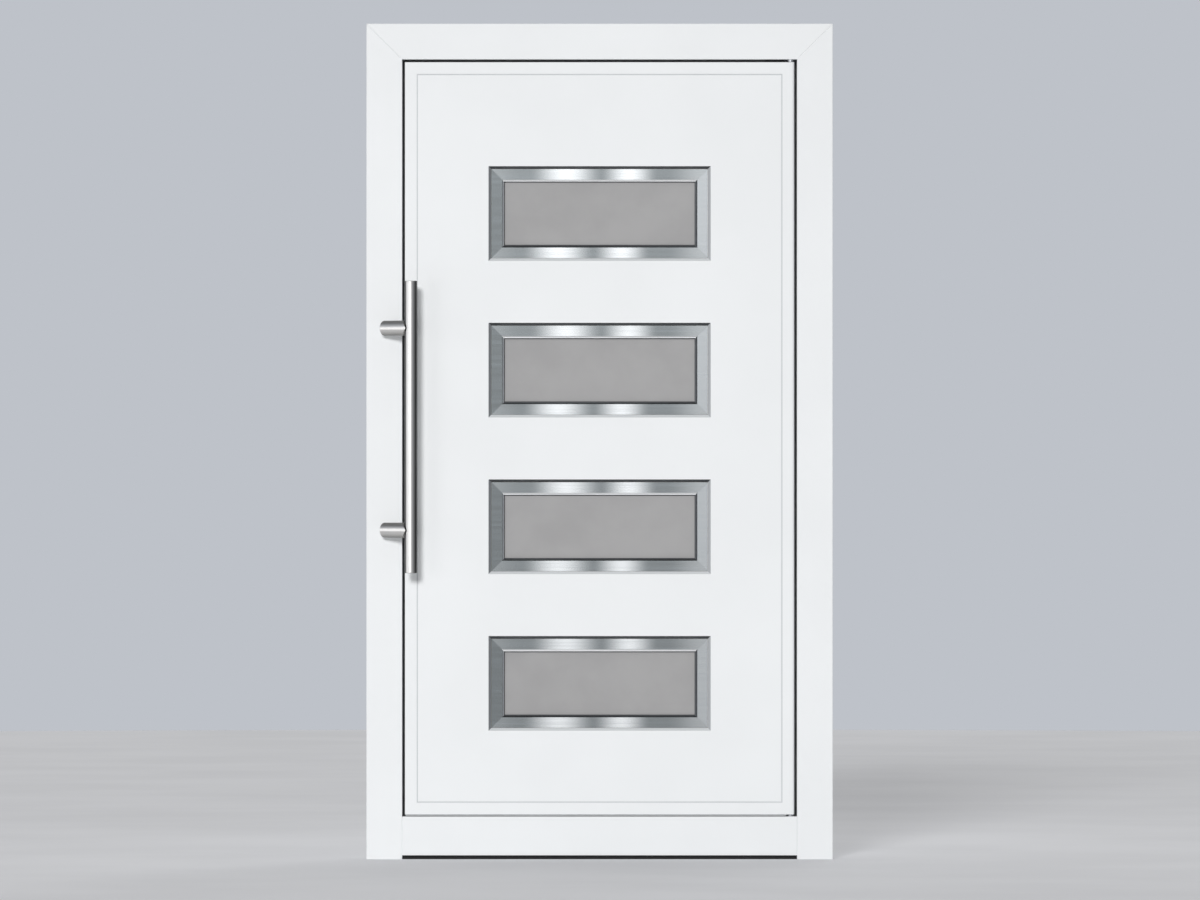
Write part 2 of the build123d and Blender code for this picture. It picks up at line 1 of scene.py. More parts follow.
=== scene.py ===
# %% [markdown]
# # A white front door in Blender
# The door set arrives as a fixed frame of named metal pieces: side members, a head, a plinth, and a leaf with
# four slot windows and a long pull bar. This lesson gives every piece its finish, adds the small things that
# repeat, such as screws and ribs, and lights the door like a plain product picture.

# %% Load the fixed frame
import bpy
import math
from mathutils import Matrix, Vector


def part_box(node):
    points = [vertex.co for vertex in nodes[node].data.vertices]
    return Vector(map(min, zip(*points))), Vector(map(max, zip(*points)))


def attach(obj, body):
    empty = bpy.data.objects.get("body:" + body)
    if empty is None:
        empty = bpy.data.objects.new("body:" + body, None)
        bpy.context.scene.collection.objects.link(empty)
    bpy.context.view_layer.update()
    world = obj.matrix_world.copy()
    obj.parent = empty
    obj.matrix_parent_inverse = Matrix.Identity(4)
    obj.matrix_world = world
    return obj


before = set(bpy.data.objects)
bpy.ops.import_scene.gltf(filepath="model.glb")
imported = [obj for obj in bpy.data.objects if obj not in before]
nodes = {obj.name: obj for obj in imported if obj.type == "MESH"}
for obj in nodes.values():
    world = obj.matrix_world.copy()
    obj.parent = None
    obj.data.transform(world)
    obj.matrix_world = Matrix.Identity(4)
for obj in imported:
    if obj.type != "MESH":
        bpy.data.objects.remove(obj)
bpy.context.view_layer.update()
scene = bpy.context.scene
MM = 0.001
print("pieces in the frame:", len(nodes))

# %% [markdown]
# Sizes are read from the pieces themselves, so nothing here has to be typed twice. The leaf's front face, the
# window trims and the grip bar are the places that the finishes need to know.

# %% Read the places that the finishes need
panel_low, panel_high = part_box("outer_panel")
leaf_front = panel_low.y
trims = [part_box(f"outer_trim_{number}") for number in (1, 2, 3, 4)]
trim_half_width = (trims[0][1].x - trims[0][0].x) / 2
trim_half_height = (trims[0][1].z - trims[0][0].z) / 2
window_heights = [(low.z + high.z) / 2 for low, high in trims]
window_pitch = window_heights[0] - window_heights[1]
grip_low, grip_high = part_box("handle_bar")
grip_x = (grip_low.x + grip_high.x) / 2
grip_y = (grip_low.y + grip_high.y) / 2
grip_radius = (grip_high.x - grip_low.x) / 2
print("leaf", [round(size, 3) for size in panel_high - panel_low], "window pitch", round(window_pitch, 3))

# %% [markdown]
# The picture is frontal and shows almost no perspective, so a long lens far away is right. The lens looks level
# from a little over a metre, which keeps the door's edges upright without any shift.

# %% Place the camera
PICTURE_WIDTH = 3.0876
LENS = 300
SENSOR = 36
CAMERA_X = 0.001
CAMERA_HEIGHT = 1.053
camera_data = bpy.data.cameras.new("door_camera")
camera_data.lens = LENS
camera_data.sensor_width = SENSOR
camera_data.clip_end = 200
camera = bpy.data.objects.new("door_camera", camera_data)
camera_distance = PICTURE_WIDTH * LENS / SENSOR
camera.location = (CAMERA_X, leaf_front - camera_distance, CAMERA_HEIGHT)
camera.rotation_euler = (math.radians(90), 0, 0)
scene.collection.objects.link(camera)
scene.camera = camera
print("camera distance", round(camera_distance, 2))

# %% [markdown]
# Every finish is a small sum: a mask times a colour, plus some noise. Node trees are easier to read when they
# are written as sums, so this class wraps a socket and lets Python's own signs add the Math nodes.

# %% A socket that takes part in Python sums
class Shade:
    """A shader socket with arithmetic; each sign adds one Math node."""

    def __init__(self, finish, socket):
        self.finish = finish
        self.socket = socket

    def __add__(self, other):
        return self.finish.maths("ADD", self, other)

    __radd__ = __add__

    def __sub__(self, other):
        return self.finish.maths("SUBTRACT", self, other)

    def __rsub__(self, other):
        return self.finish.maths("SUBTRACT", other, self)

    def __mul__(self, other):
        return self.finish.maths("MULTIPLY", self, other)

    __rmul__ = __mul__

    def __truediv__(self, other):
        return self.finish.maths("DIVIDE", self, other)

    def __mod__(self, other):
        return self.finish.maths("FLOORED_MODULO", self, other)

    def __lt__(self, other):
        return self.finish.maths("LESS_THAN", self, other)

    def __gt__(self, other):
        return self.finish.maths("GREATER_THAN", self, other)

    def __abs__(self):
        return self.finish.maths("ABSOLUTE", self, 0.0)


# %% [markdown]
# One method adds any node: first its settings, then the values or links of its sockets. The other methods are
# short names for what the finishes use again and again: the place on the piece, noise, and soft steps.

# %% The node tree of a finish
class Finish:
    """The node tree of one material or of the world, built node by node."""

    def __init__(self, owner):
        self.owner = owner
        owner.use_nodes = True
        self.nodes = owner.node_tree.nodes
        self.links = owner.node_tree.links
        self.nodes.clear()

    def node(self, kind, settings, sockets, output=0):
        """Add a node: its settings first, then the values or links of its sockets."""
        made = self.nodes.new(kind)
        for name, value in settings.items():
            if name == "stops":
                set_stops(made.color_ramp, value)
            else:
                setattr(made, name, value)
        for key, value in sockets.items():
            if isinstance(value, Shade):
                self.links.new(value.socket, made.inputs[key])
            else:
                made.inputs[key].default_value = value
        return Shade(self, made.outputs[output]) if made.outputs else None

    def maths(self, operation, first, second):
        return self.node("ShaderNodeMath", {"operation": operation}, {0: first, 1: second})

    def place(self):
        """The point on the piece, in metres, as three shades."""
        spot = self.node("ShaderNodeTexCoord", {}, {}, output="Object")
        return [self.node("ShaderNodeSeparateXYZ", {}, {0: spot}, output=axis) for axis in "XYZ"]

    def noise(self, scale, detail=2.0, stretch=(1, 1, 1)):
        """Smooth noise from 0 to 1; stretch squeezes it along an axis."""
        spot = self.node("ShaderNodeTexCoord", {}, {}, output="Object")
        turned = self.node("ShaderNodeMapping", {}, {"Vector": spot, "Scale": stretch})
        return self.node("ShaderNodeTexNoise", {}, {"Vector": turned, "Scale": scale, "Detail": detail})

    def ease(self, value, start, end):
        """0 below start, 1 above end, smooth between."""
        ranges = {"From Min": start, "From Max": end, "To Min": 0.0, "To Max": 1.0}
        return self.node("ShaderNodeMapRange", {"interpolation_type": "SMOOTHSTEP"}, {"Value": value, **ranges})

    def hill(self, value, middle, spread):
        """1 at the middle, 0 a spread away on both sides."""
        return 1 - self.ease(abs(value - middle), 0.0, spread)

    def mix(self, factor, first, second):
        """A colour between two colours."""
        return self.node("ShaderNodeMix", {"data_type": "RGBA"}, {0: factor, 6: first, 7: second}, output=2)

    def ramp(self, value, stops):
        """A colour from a ramp of (place, colour) stops."""
        return self.node("ShaderNodeValToRGB", {"stops": stops}, {0: value})

    def bump(self, height, distance, strength=1.0):
        """A normal from a height, where a height of 1 stands for a distance in metres."""
        return self.node("ShaderNodeBump", {}, {"Strength": strength, "Distance": distance, "Height": height})

    def surface(self, **sockets):
        """Close the tree with a Principled shader; underscores stand for spaces."""
        named = {name.replace("_", " "): value for name, value in sockets.items()}
        shader = self.node("ShaderNodeBsdfPrincipled", {}, named)
        self.node("ShaderNodeOutputMaterial", {}, {"Surface": shader})
        return self.owner


def set_stops(ramp, stops):
    """Give a colour ramp its (place, colour) stops."""
    while len(ramp.elements) < len(stops):
        ramp.elements.new(0.5)
    for element, (place, tone) in zip(ramp.elements, stops):
        element.position = place
        element.color = tone


def new_finish(name):
    """A new material, ready to be built."""
    return Finish(bpy.data.materials.new(name))


# %% [markdown]
# Colours are easiest to name by the numbers that a screen shows, from 0 to 255. Shaders want linear light, so
# one helper turns the one into the other.

# %% Colours and who wears them
def colour(red, green, blue):
    """A linear colour from the three numbers, 0 to 255, that a screen shows."""
    parts = [part / 255 for part in (red, green, blue)]
    linear = [part / 12.92 if part <= 0.04045 else ((part + 0.055) / 1.055) ** 2.4 for part in parts]
    return (*linear, 1.0)


def coat(material, *names):
    """Give a finish to frame pieces by name."""
    for name in names:
        nodes[name].data.materials.clear()
        nodes[name].data.materials.append(material)
    print(material.name, "on", len(names), "pieces")


# %% [markdown]
# ## White powder coat
# The door is powder-coated metal. Powder melts into a skin that is smooth from afar but has a fine orange peel
# close up, so the normal gets a tiny bump and the roughness wanders a little. The colour is a cool white with
# barely visible clouds.

# %% Powder coat on the frame and the leaf's hidden members
WHITE = colour(237, 239, 240)
WHITE_CLOUD = colour(234, 236, 237)


def powder(finish):
    """The colour, roughness and normal of white powder coat."""
    base = finish.mix(finish.ease(finish.noise(3.0), 0.3, 0.7), WHITE, WHITE_CLOUD)
    rough = 0.42 + 0.06 * finish.noise(40.0)
    return base, rough, finish.bump(finish.noise(900.0, detail=1.0), 0.00003, 0.35)


powder_finish = new_finish("white_powder_coat")
base, rough, normal = powder(powder_finish)
white_powder = powder_finish.surface(Base_Color=base, Roughness=rough, Normal=normal)
coat(white_powder, "jamb_left", "jamb_right", "head", "plinth")
coat(white_powder, "inner_panel", "stile_lock", "stile_hinge", "rail_top", "rail_bottom")

# %% [markdown]
# ## Four windows, one pattern
# The windows repeat at one pitch, so a remainder turns any height into the height above the middle of its own
# window. Round a window everything is a rectangular ring with mitred corners. Comparing how far a point lies
# beyond the ring's side with how far it lies beyond its top tells which of the four sides it belongs to.

# %% Window height and the four sides of a ring
def window_height(finish, up):
    """Height above the middle of the point's own window."""
    return window_pitch / 2 - (window_heights[0] + window_pitch / 2 - up) % window_pitch


def four_sided(finish, across, height, half_width, half_height, top, bottom, left, right):
    """A colour for each side of a rectangular ring, meeting in mitres."""
    upright = (abs(across) - half_width) > (abs(height) - half_height)
    level_side = finish.mix(height > 0, bottom, top)
    upright_side = finish.mix(across > 0, left, right)
    return finish.mix(upright, level_side, upright_side)


# %% [markdown]
# ## The outer panel
# The panel has two things that the plain coat lacks: a hairline groove round its border, greyed as painted
# shade, and the bevelled reveals of the windows. The reveals carry painted shade in greys that follow the light
# of the picture, from nearly black at the top to pale at the bottom, because a white bevel would hardly show
# beside a white face. What lies behind the flat face belongs to a cut.

# %% Finish of the outer panel
# Painted shade: grey in the border groove, and on the reveals darkest at the top and palest at the bottom.
GROOVE_PAINTED_SHADE = colour(204, 207, 209)
REVEAL_TOP_PAINTED_SHADE = colour(62, 64, 66)
REVEAL_BOTTOM_PAINTED_SHADE = colour(216, 219, 221)
REVEAL_LEFT_PAINTED_SHADE = colour(128, 131, 134)
REVEAL_RIGHT_PAINTED_SHADE = colour(176, 179, 182)
REVEAL_REACH = 14 * MM
FACE_SKIN = 0.25 * MM
EDGE_ZONE = 10 * MM
panel_finish = new_finish("white_panel_coat")
base, rough, normal = powder(panel_finish)
across, depth, up = panel_finish.place()
height = window_height(panel_finish, up)
behind_face = depth > leaf_front + FACE_SKIN
in_rows = (up < window_heights[0] + window_pitch / 2) * (up > window_heights[-1] - window_pitch / 2)
beside = (abs(across) < trim_half_width + REVEAL_REACH) * (abs(height) < trim_half_height + REVEAL_REACH)
reveal_painted_shade = four_sided(
    panel_finish, across, height, trim_half_width, trim_half_height,
    REVEAL_TOP_PAINTED_SHADE, REVEAL_BOTTOM_PAINTED_SHADE, REVEAL_LEFT_PAINTED_SHADE, REVEAL_RIGHT_PAINTED_SHADE,
)
panel_middle = (panel_low.z + panel_high.z) / 2
panel_half_height = (panel_high.z - panel_low.z) / 2
inside_sides = abs(across) < panel_high.x - EDGE_ZONE
inside_edge = inside_sides * (abs(up - panel_middle) < panel_half_height - EDGE_ZONE)
# Painted shade goes into the groove first, then into the window reveals.
base = panel_finish.mix(behind_face * inside_edge, base, GROOVE_PAINTED_SHADE)
base = panel_finish.mix(behind_face * beside * in_rows, base, reveal_painted_shade)
coat(panel_finish.surface(Base_Color=base, Roughness=rough, Normal=normal), "outer_panel")

# %% [markdown]
# ## Brushed steel trims
# The trims are flat stainless frames, brushed and mitred at the corners. Brushing is fine noise, squeezed hard
# across and stretched along. On the long strips the colour carries a painted reflection: two soft bright bands
# beside a darker middle, placed along the strip, and brighter ends.

# %% Brush lines
FINE_ALONG, FINE_ACROSS = 9.0, 700.0
WIDE_ALONG, WIDE_ACROSS = 2.0, 150.0


def brushed(finish, along, fine_share=0.3):
    """Brush lines along X, Y or Z, as a number round 0.5."""
    fine = tuple(FINE_ALONG if axis == along else FINE_ACROSS for axis in "XYZ")
    wide = tuple(WIDE_ALONG if axis == along else WIDE_ACROSS for axis in "XYZ")
    fine_lines = finish.noise(1.0, detail=3.0, stretch=fine)
    wide_lines = finish.noise(1.0, detail=2.0, stretch=wide)
    return fine_lines * fine_share + wide_lines * (1 - fine_share)


# %% [markdown]
# The painted reflection bands sit at the same place on all four windows. The left side strips carry painted
# shade and the right ones painted light. A raised bead runs round the glass: its top carries a painted
# highlight, its left side lighter painted shade, and its right side and bottom darker painted shade. Thin dark
# hairlines mark the mitres of the flat strips.

# %% Steel of the window trims
# The top and bottom strips carry a painted reflection: bright bands and brighter ends over a darker middle.
STEEL_BETWEEN_REFLECTIONS = colour(113, 117, 118)
STEEL_PAINTED_REFLECTION = colour(207, 209, 209)
# Side strips: painted shade on the left, painted light on the right.
STEEL_LEFT_PAINTED_SHADE = colour(100, 104, 105)
STEEL_RIGHT_PAINTED_LIGHT = colour(157, 160, 161)
MITRE_TONE = colour(80, 84, 88)
BRUSH_TONE = colour(110, 116, 120)
BAND_LEFT, BAND_LEFT_SPREAD = -86 * MM, 95 * MM
BAND_RIGHT, BAND_RIGHT_SPREAD = 76 * MM, 75 * MM
BAND_SHIFT = 20 * MM
MITRE_WIDTH = 0.5 * MM
BEAD_INSET = 27 * MM
# The bead's tones are painted light: a highlight on top, shade on its sides and bottom.
BEAD_TOP_PAINTED_HIGHLIGHT = colour(244, 245, 246)
BEAD_BOTTOM_PAINTED_SHADE = colour(40, 42, 44)
BEAD_LEFT_PAINTED_SHADE = colour(136, 140, 143)
BEAD_RIGHT_PAINTED_SHADE = colour(84, 87, 90)
bead_half_width = trim_half_width - BEAD_INSET
bead_half_height = trim_half_height - BEAD_INSET
trim_finish = new_finish("brushed_trim_steel")
across, depth, up = trim_finish.place()
height = window_height(trim_finish, up)
lines = brushed(trim_finish, "X")
along = across + (height < 0) * BAND_SHIFT
left_reflection_band = trim_finish.hill(along, BAND_LEFT, BAND_LEFT_SPREAD)
reflection_bands = left_reflection_band + trim_finish.hill(along, BAND_RIGHT, BAND_RIGHT_SPREAD)
# Painted highlights towards both ends of the strips.
painted_end_highlights = 0.30 * trim_finish.ease(across, 0.17, 0.27) + 0.10 * trim_finish.ease(-1 * across, 0.2, 0.28)
level_painted_reflection = trim_finish.mix(reflection_bands * 0.95 + painted_end_highlights, STEEL_BETWEEN_REFLECTIONS, STEEL_PAINTED_REFLECTION)
flange = four_sided(
    trim_finish, across, height, bead_half_width, bead_half_height,
    level_painted_reflection, level_painted_reflection, STEEL_LEFT_PAINTED_SHADE, STEEL_RIGHT_PAINTED_LIGHT,
)
bead = four_sided(
    trim_finish, across, height, bead_half_width, bead_half_height,
    BEAD_TOP_PAINTED_HIGHLIGHT, BEAD_BOTTOM_PAINTED_SHADE, BEAD_LEFT_PAINTED_SHADE, BEAD_RIGHT_PAINTED_SHADE,
)
on_bead = (abs(across) < bead_half_width) * (abs(height) < bead_half_height)
corner_gap = abs((abs(across) - bead_half_width) - (abs(height) - bead_half_height))
steel = trim_finish.mix((corner_gap < MITRE_WIDTH) * 0.35, flange, MITRE_TONE)
steel = trim_finish.mix(on_bead, steel, bead)
steel = trim_finish.mix(trim_finish.ease(lines, 0.42, 0.62) * 0.2, steel, BRUSH_TONE)
normal = trim_finish.bump(lines, 0.00004, 0.15)
trim_steel = trim_finish.surface(
    Base_Color=steel,
    Metallic=0.92 - 0.6 * on_bead,
    Roughness=0.22 + 0.08 * lines,
    Normal=normal,
)
coat(trim_steel, *[f"{side}_trim_{number}" for side in ("outer", "inner") for number in (1, 2, 3, 4)])

# %% [markdown]
# ## Satin glass
# Privacy glass is etched, so it looks like a smooth grey sheet that lets light through but no picture. A
# clear shader would show the foam behind it, so the pane is a soft grey surface with the gloss of its clear
# outer skin and a hardly visible mottle from the etching.

# %% Satin glass
GLASS_GREY = colour(157, 156, 156)
GLASS_DEEP = colour(150, 149, 149)
glass_finish = new_finish("etched_pane")
mottle = glass_finish.noise(9.0, detail=4.0)
base = glass_finish.mix(glass_finish.ease(mottle, 0.3, 0.75), GLASS_GREY, GLASS_DEEP)
satin_glass = glass_finish.surface(
    Base_Color=base,
    Roughness=0.42 + 0.05 * mottle,
    Normal=glass_finish.bump(glass_finish.noise(1500.0, detail=1.0), 0.00002, 0.2),
    Coat_Weight=0.25,
    Coat_Roughness=0.1,
)
coat(satin_glass, *[f"glass_unit_{number}" for number in (1, 2, 3, 4)])

# %% [markdown]
# ## The handle's steel
# The bar is a drawn tube, ground along its length. Its left flank carries a painted highlight and its right
# flank painted shade, which a ramp over the bar's width gives. Each support is ground too, and carries a
# painted highlight along its middle with painted shade at its top and bottom. Fine lines and low roughness do
# the rest.
# Behind a round piece's middle the ramp fades into one even tone, so that the piece still looks like steel from
# the sides and from above.

# %% A ground round bar
# These tones are painted highlight and shade on the steel, laid out by the ramps below.
PAINTED_LIGHT_STEEL_TONES = {
    "bright": colour(230, 228, 225),
    "pale": colour(192, 190, 187),
    "flank": colour(142, 140, 138),
    "shade": colour(98, 97, 95),
    "dark": colour(34, 34, 34),
    "rim": colour(62, 61, 60),
}
EVEN_PLACE = 0.45
BAR_ROUGHNESS = 0.24


def ground_steel(name, along, ramp_of, stops, roughness):
    """Ground stainless steel whose painted highlight and shade follow a ramp over the piece."""
    finish = new_finish(name)
    lines = brushed(finish, along, 0.6)
    tone = finish.ramp(ramp_of(finish), [(place, PAINTED_LIGHT_STEEL_TONES[key]) for place, key in stops])
    base = finish.mix(finish.ease(lines, 0.3, 0.7) * 0.12, tone, PAINTED_LIGHT_STEEL_TONES["flank"])
    normal = finish.bump(lines, 0.00002, 0.25)
    return finish.surface(Base_Color=base, Metallic=1.0, Roughness=roughness + 0.1 * lines, Normal=normal)


def even_behind(finish, place, depth, radius):
    """Fade a ramp's place into one even tone behind the middle of a round piece."""
    behind = finish.ease(depth, -0.1 * radius, 0.5 * radius)
    return place + behind * (EVEN_PLACE - place)


def over_bar(finish):
    """0 at the bar's left edge, 1 at its right edge, even at its back."""
    across, depth, _ = finish.place()
    place = (across - (grip_x - grip_radius)) / (2 * grip_radius)
    return even_behind(finish, place, depth - grip_y, grip_radius)


# Painted highlight on the bar's left flank, painted shade on its right flank.
BAR_PAINTED_LIGHT_STOPS = [
    (0.0, "rim"), (0.1, "flank"), (0.24, "bright"), (0.36, "bright"),
    (0.5, "pale"), (0.62, "pale"), (0.74, "flank"), (0.88, "dark"), (1.0, "dark"),
]
coat(ground_steel("ground_bar_steel", "Z", over_bar, BAR_PAINTED_LIGHT_STOPS, BAR_ROUGHNESS), "handle_bar")

# %% [markdown]
# A support is a thick round arm, so its ramp runs over its height instead. Both supports share one helper that
# reads the arm's box for its middle. In plan the arm leaves the bar at a slant, and its back is what lies
# behind that slanted line.

# %% The supports
# Painted highlight along each support's middle, painted shade at its top and bottom.
SUPPORT_PAINTED_LIGHT_STOPS = [
    (0.0, "shade"), (0.08, "flank"), (0.16, "pale"), (0.26, "bright"),
    (0.62, "bright"), (0.8, "flank"), (0.92, "shade"), (1.0, "rim"),
]
SUPPORT_ROUGHNESS = 0.29
ARM_SLANT = math.radians(41)


def support_steel(name):
    """Ground steel for one support."""
    low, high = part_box(name)

    def over_arm(finish):
        across, depth, up = finish.place()
        place = (up - low.z) / (high.z - low.z)
        behind = (across - grip_x) * math.sin(ARM_SLANT) + (depth - grip_y) * math.cos(ARM_SLANT)
        return even_behind(finish, place, behind, (high.z - low.z) / 2)

    return ground_steel("ground_" + name, "X", over_arm, SUPPORT_PAINTED_LIGHT_STOPS, SUPPORT_ROUGHNESS)


for support in ("handle_support_upper", "handle_support_lower"):
    coat(support_steel(support), support)

# %% [markdown]
# ## Small metal, rubber and foam
# Lock parts are satin steel, the threshold is natural aluminium drawn along its length, and seals are rubber
# with a dusty bloom, dark at the glass and grey at the frame. The strip in the floor gap is black plastic. Two
# helpers are enough: one for drawn metal and one for rubber, plastic and foam, which all look dusty.

# %% Two helpers for the small pieces
def drawn_metal(name, dark, light, roughness, along, metallic=0.95):
    """A plain metal with drawing lines along one axis; an oxide film makes it less metallic."""
    finish = new_finish(name)
    lines = brushed(finish, along)
    base = finish.mix(finish.ease(lines, 0.35, 0.65), dark, light)
    normal = finish.bump(lines, 0.00003, 0.3)
    return finish.surface(Base_Color=base, Metallic=metallic, Roughness=roughness + 0.1 * lines, Normal=normal)


def dusty(name, clean, dust, roughness):
    """Rubber, plastic or foam: paler where dust sits."""
    finish = new_finish(name)
    film = finish.noise(60.0, detail=4.0)
    base = finish.mix(finish.ease(film, 0.45, 0.8), clean, dust)
    normal = finish.bump(finish.noise(1200.0, detail=1.0), 0.00005, 0.4)
    return finish.surface(Base_Color=base, Roughness=roughness + 0.15 * film, Normal=normal)


# %% [markdown]
# Each small piece gets its finish by name. The lever indoors is the same family of ground steel as the pull
# bar, only plain, because its bend has no one direction for a ramp.

# %% Finishes of the small pieces
lock_metal = drawn_metal("satin_lock_steel", colour(170, 171, 173), colour(200, 201, 203), 0.3, "Z")
lever_metal = drawn_metal("ground_lever_steel", colour(196, 197, 199), colour(222, 223, 225), 0.22, "X")
pivot_metal = drawn_metal("plain_pivot_steel", colour(140, 141, 144), colour(170, 171, 174), 0.35, "X")
threshold_metal = drawn_metal("drawn_aluminium", colour(206, 208, 210), colour(224, 226, 228), 0.4, "X", 0.4)
plug_metal = drawn_metal("turned_brass_core", colour(196, 176, 122), colour(214, 196, 146), 0.28, "X")
cylinder_metal = drawn_metal("nickel_plate", colour(190, 184, 170), colour(214, 208, 196), 0.22, "Y")
rubber = dusty("dark_seal_rubber", colour(52, 54, 57), colour(72, 74, 77), 0.6)
frame_rubber = dusty("grey_frame_seal", colour(140, 142, 145), colour(156, 158, 160), 0.6)
tube_rubber = dusty("pale_tube_seal", colour(178, 180, 182), colour(190, 192, 194), 0.6)
# This black is the floor-gap strip's plastic and also the painted shade of the keyway.
black_plastic_and_keyway_shade = dusty("black_plastic_and_painted_keyway_shade", colour(5, 5, 6), colour(14, 14, 15), 0.7)
foam = dusty("pale_core_foam", colour(206, 200, 178), colour(222, 218, 200), 0.8)
coat(lock_metal, "lock_case", "lock_faceplate", "lever_plate", "strike_plate")
coat(lock_metal, "latch_bolt", "dead_bolt", "glass_spacers")
coat(lever_metal, "lever_handle")
coat(pivot_metal, "pivot_pin_top", "pivot_pin_bottom", "pivot_plate_top", "pivot_plate_bottom")
coat(threshold_metal, "threshold")
coat(cylinder_metal, "lock_cylinder")
coat(frame_rubber, "frame_gasket")
coat(rubber, "window_gaskets")
coat(black_plastic_and_keyway_shade, "base_strip")
coat(foam, "core")

# %% [markdown]
# ## Things that repeat
# Screws and ribs repeat, so Geometry Nodes make them. The shader helper already knows how to add a node and
# link its sockets, so a geometry tree reuses it. Joining can leave an empty material slot behind, which is
# dropped.

# %% A geometry tree and its harvest
class Repeat(Finish):
    """A geometry tree with named inputs, made of the same nodes and links."""

    def __init__(self, name, inputs):
        tree = bpy.data.node_groups.new(name, "GeometryNodeTree")
        self.tree = tree
        self.nodes = tree.nodes
        self.links = tree.links
        tree.interface.new_socket("Geometry", in_out="INPUT", socket_type="NodeSocketGeometry")
        tree.interface.new_socket("Geometry", in_out="OUTPUT", socket_type="NodeSocketGeometry")
        for label, kind in inputs.items():
            tree.interface.new_socket(label, in_out="INPUT", socket_type=kind)
        self.entry = self.nodes.new("NodeGroupInput")

    def value(self, label):
        """A named input of the tree."""
        return Shade(self, self.entry.outputs[label])

    def on_points(self, shape, finish, **turned):
        """The shape on every bare point, made real and given its finish."""
        spots = {"Points": self.value("Geometry"), "Instance": shape, **turned}
        copies = self.node("GeometryNodeInstanceOnPoints", {}, spots)
        real = self.node("GeometryNodeRealizeInstances", {}, {0: copies})
        return self.node("GeometryNodeSetMaterial", {}, {"Geometry": real, "Material": self.value(finish)})

    def harvest(self, name, points, values, body, slot):
        """Run the tree on bare points and keep the result as a plain mesh that rides on a body."""
        spots = bpy.data.meshes.new(name + "_points")
        spots.from_pydata(points, [], [])
        piece = bpy.data.objects.new(name, spots)
        modifier = piece.modifiers.new(name, "NODES")
        modifier.node_group = self.tree
        for item in self.tree.interface.items_tree:
            if item.in_out == "INPUT" and item.name in values:
                modifier[item.identifier] = values[item.name]
        scene.collection.objects.link(piece)
        evaluated = piece.evaluated_get(bpy.context.evaluated_depsgraph_get())
        mesh = bpy.data.meshes.new_from_object(evaluated)
        for index in reversed(range(len(mesh.materials))):
            if mesh.materials[index] is None:
                mesh.materials.pop(index=index)
        piece.modifiers.clear()
        piece.data = mesh
        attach(piece, body)
        print(name, "has", len(points), "copies and", len(mesh.polygons), "faces")
        return piece


# %% [markdown]
# A countersunk screw shows only its head: a low cone with a six-sided socket. The socket is cut once, by a
# boolean inside the tree, and the finished head is then set on every point and turned to face its way.

# %% The screw tree
screw_inputs = {
    "Head Radius": "NodeSocketFloat",
    "Head Height": "NodeSocketFloat",
    "Socket Radius": "NodeSocketFloat",
    "Facing": "NodeSocketVector",
    "Finish": "NodeSocketMaterial",
}
screws = Repeat("socket_screws", screw_inputs)
head_radius = screws.value("Head Radius")
head_height = screws.value("Head Height")
head_shape = {
    "Vertices": 24,
    "Radius Top": head_radius * 0.88,
    "Radius Bottom": head_radius,
    "Depth": head_height,
}
head = screws.node("GeometryNodeMeshCone", {}, head_shape)
cutter_shape = {"Vertices": 6, "Radius": screws.value("Socket Radius"), "Depth": head_height}
cutter = screws.node("GeometryNodeMeshCylinder", {}, cutter_shape)
raised = screws.node("ShaderNodeCombineXYZ", {}, {"Z": head_height * 0.9})
cutter = screws.node("GeometryNodeTransform", {}, {"Geometry": cutter, "Translation": raised})
cut_head = screws.node("GeometryNodeMeshBoolean", {"operation": "DIFFERENCE"}, {0: head, 1: cutter})
turn = screws.node("FunctionNodeAlignRotationToVector", {"axis": "Z"}, {"Vector": screws.value("Facing")})
screws.node("NodeGroupOutput", {}, {"Geometry": screws.on_points(cut_head, "Finish", Rotation=turn)})
print("screw tree has", len(screws.nodes), "nodes")

# %% [markdown]
# The lock's faceplate, its strike plate and the lever plate are each held by a screw near both ends. Places are
# worked out from the plates' boxes, and each head is sunk a tenth of a millimetre into its plate.

# %% Screws on the plates
SUNK = 0.1 * MM
FACE_INSET, STRIKE_INSET, PLATE_INSET = 10 * MM, 12 * MM, 14 * MM
SCREW = {"Head Radius": 3.6 * MM, "Head Height": 1.0 * MM, "Socket Radius": 1.7 * MM}


def box_middle(name):
    """The middle of a frame piece's box."""
    low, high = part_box(name)
    return (low + high) / 2


face_low, face_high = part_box("lock_faceplate")
strike_low, strike_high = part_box("strike_plate")
plate_low, plate_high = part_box("lever_plate")
face_middle = box_middle("lock_faceplate")
plate_middle = box_middle("lever_plate")
face_rows = (face_low.z + FACE_INSET, face_high.z - FACE_INSET)
strike_rows = (strike_low.z + STRIKE_INSET, strike_high.z - STRIKE_INSET)
plate_rows = (plate_low.z + PLATE_INSET, plate_high.z - PLATE_INSET)
face_spots = [(face_low.x + SUNK, face_middle.y, z) for z in face_rows]
strike_spots = [(strike_high.x - SUNK, face_middle.y, z) for z in strike_rows]
lever_spots = [(plate_middle.x, plate_high.y - SUNK, z) for z in plate_rows]
on_face = {**SCREW, "Facing": (-1.0, 0.0, 0.0), "Finish": lock_metal}
on_strike = {**SCREW, "Facing": (1.0, 0.0, 0.0), "Finish": lock_metal}
on_lever = {**SCREW, "Facing": (0.0, 1.0, 0.0), "Finish": lever_metal}
screws.harvest("faceplate_screws", face_spots, on_face, "leaf", "lock_steel")
screws.harvest("strike_screws", strike_spots, on_strike, "frame", "lock_steel")
screws.harvest("lever_plate_screws", lever_spots, on_lever, "leaf", "lever_steel")

# %% [markdown]
# The lock cylinder ends in a round plug with a keyway. The tree lays a flat bar of black material on a disc as
# painted shade, so the slot reads as deep without cutting the cylinder.

